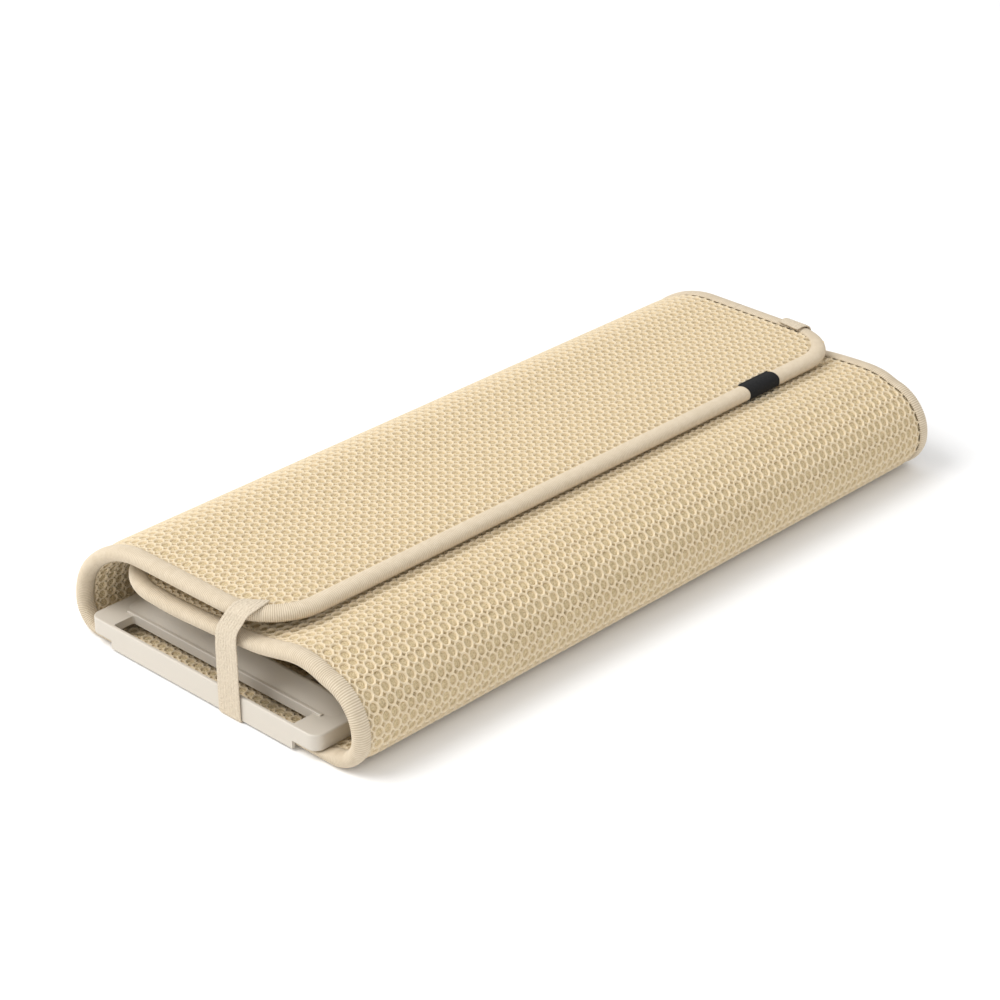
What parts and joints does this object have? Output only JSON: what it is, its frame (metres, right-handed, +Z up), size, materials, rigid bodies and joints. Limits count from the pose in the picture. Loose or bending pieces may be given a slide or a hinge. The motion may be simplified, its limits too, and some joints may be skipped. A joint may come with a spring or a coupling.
{
  "type": "folding dish drying mat with rack",
  "caption": "Bound honeycomb-mesh drying mat, folded in three round a moulded plate rack and held shut by an elastic strap at each end.",
  "frame": {"origin": "bottom centre of the folded mat, on the surface it lies on", "axes": "+X along the folds towards the label's end, +Y towards the fold that carries the upper flap, +Z up"},
  "size_m": [0.4732, 0.2224, 0.066],
  "materials": {
    "face_mesh": "honeycomb spacer mesh, cream",
    "core": "absorbent microfibre pad",
    "binding": "ribbed woven binding tape, cream",
    "rack_plastic": "satin moulded plastic, warm off-white",
    "elastic": "woven elastic tape, cream",
    "thread": "polyester sewing thread",
    "label": "blank dark woven label"
  },
  "bodies": {
    "base": {"base_outer_mesh": "face_mesh", "base_core": "core", "base_inner_mesh": "face_mesh", "base_binding": "binding", "rack": "rack_plastic"},
    "rear_fold_1": {"rear_fold_1_outer_mesh": "face_mesh", "rear_fold_1_core": "core", "rear_fold_1_inner_mesh": "face_mesh", "rear_fold_1_binding": "binding"},
    "rear_fold_2": {"rear_fold_2_outer_mesh": "face_mesh", "rear_fold_2_core": "core", "rear_fold_2_inner_mesh": "face_mesh", "rear_fold_2_binding": "binding"},
    "rear_fold_3": {"rear_fold_3_outer_mesh": "face_mesh", "rear_fold_3_core": "core", "rear_fold_3_inner_mesh": "face_mesh", "rear_fold_3_binding": "binding"},
    "rear_fold_4": {"rear_fold_4_outer_mesh": "face_mesh", "rear_fold_4_core": "core", "rear_fold_4_inner_mesh": "face_mesh", "rear_fold_4_binding": "binding"},
    "front_fold_1": {"front_fold_1_outer_mesh": "face_mesh", "front_fold_1_core": "core", "front_fold_1_inner_mesh": "face_mesh", "front_fold_1_binding": "binding"},
    "front_fold_2": {"front_fold_2_outer_mesh": "face_mesh", "front_fold_2_core": "core", "front_fold_2_inner_mesh": "face_mesh", "front_fold_2_binding": "binding"},
    "front_fold_3": {"front_fold_3_outer_mesh": "face_mesh", "front_fold_3_core": "core", "front_fold_3_inner_mesh": "face_mesh", "front_fold_3_binding": "binding"},
    "front_fold_4": {"front_fold_4_outer_mesh": "face_mesh", "front_fold_4_core": "core", "front_fold_4_inner_mesh": "face_mesh", "front_fold_4_binding": "binding"},
    "upper_flap": {"upper_flap_outer_mesh": "face_mesh", "upper_flap_core": "core", "upper_flap_inner_mesh": "face_mesh", "upper_flap_binding": "binding", "label": "label", "left_strap_root": "elastic", "left_strap_bartack": "thread", "right_strap_root": "elastic", "right_strap_bartack": "thread"},
    "lower_flap": {"lower_flap_outer_mesh": "face_mesh", "lower_flap_core": "core", "lower_flap_inner_mesh": "face_mesh", "lower_flap_binding": "binding"},
    "left_strap": {"left_strap_band": "elastic"},
    "right_strap": {"right_strap_band": "elastic"}
  },
  "joints": [
    {"name": "rear_unfold_1", "type": "hinge", "parent": "base", "child": "rear_fold_1", "pos_m": [0, 0.09494, 0], "axis": [-1, 0, 0], "range_deg": [0, 30]},
    {"name": "rear_unfold_2", "type": "hinge", "parent": "rear_fold_1", "child": "rear_fold_2", "pos_m": [0, 0.10837, 0.00775], "axis": [-1, 0, 0], "range_deg": [0, 45]},
    {"name": "rear_unfold_3", "type": "hinge", "parent": "rear_fold_2", "child": "rear_fold_3", "pos_m": [0, 0.11118, 0.01825], "axis": [-1, 0, 0], "range_deg": [0, 37.5]},
    {"name": "rear_unfold_4", "type": "hinge", "parent": "rear_fold_3", "child": "rear_fold_4", "pos_m": [0, 0.09976, 0.04583], "axis": [-1, 0, 0], "range_deg": [0, 45]},
    {"name": "rear_unfold_5", "type": "hinge", "parent": "rear_fold_4", "child": "upper_flap", "pos_m": [0, 0.05521, 0.06428], "axis": [-1, 0, 0], "range_deg": [0, 22.5]},
    {"name": "front_unfold_1", "type": "hinge", "parent": "base", "child": "front_fold_1", "pos_m": [0, -0.08706, 0], "axis": [1, 0, 0], "range_deg": [0, 22.5]},
    {"name": "front_unfold_2", "type": "hinge", "parent": "front_fold_1", "child": "front_fold_2", "pos_m": [0, -0.10473, 0.00732], "axis": [1, 0, 0], "range_deg": [0, 45]},
    {"name": "front_unfold_3", "type": "hinge", "parent": "front_fold_2", "child": "front_fold_3", "pos_m": [0, -0.11118, 0.02288], "axis": [1, 0, 0], "range_deg": [0, 45]},
    {"name": "front_unfold_4", "type": "hinge", "parent": "front_fold_3", "child": "front_fold_4", "pos_m": [0, -0.10268, 0.04338], "axis": [1, 0, 0], "range_deg": [0, 37.5]},
    {"name": "front_unfold_5", "type": "hinge", "parent": "front_fold_4", "child": "lower_flap", "pos_m": [0, -0.08969, 0.05089], "axis": [1, 0, 0], "range_deg": [0, 29], "deforming": ["lower_flap_outer_mesh", "lower_flap_core", "lower_flap_inner_mesh", "lower_flap_binding"]},
    {"name": "left_strap_unhook", "type": "hinge", "parent": "upper_flap", "child": "left_strap", "pos_m": [-0.2327, -0.01776, 0.0655], "axis": [0, 1, 0], "range_deg": [0, 90], "deforming": ["left_strap_band"]},
    {"name": "right_strap_unhook", "type": "hinge", "parent": "upper_flap", "child": "right_strap", "pos_m": [0.2327, -0.00906, 0.0655], "axis": [0, -1, 0], "range_deg": [0, 90], "deforming": ["right_strap_band"]}
  ],
  "couplings": [
    {"joint": "rear_unfold_1", "follows": "rear_unfold_4", "ratio": 0.66667},
    {"joint": "rear_unfold_2", "follows": "rear_unfold_4", "ratio": 1},
    {"joint": "rear_unfold_3", "follows": "rear_unfold_4", "ratio": 0.83333},
    {"joint": "rear_unfold_5", "follows": "rear_unfold_4", "ratio": 0.5},
    {"joint": "front_unfold_1", "follows": "front_unfold_2", "ratio": 0.5},
    {"joint": "front_unfold_3", "follows": "front_unfold_2", "ratio": 1},
    {"joint": "front_unfold_4", "follows": "front_unfold_2", "ratio": 0.83333},
    {"joint": "front_unfold_5", "follows": "front_unfold_2", "ratio": 0.64444}
  ]
}
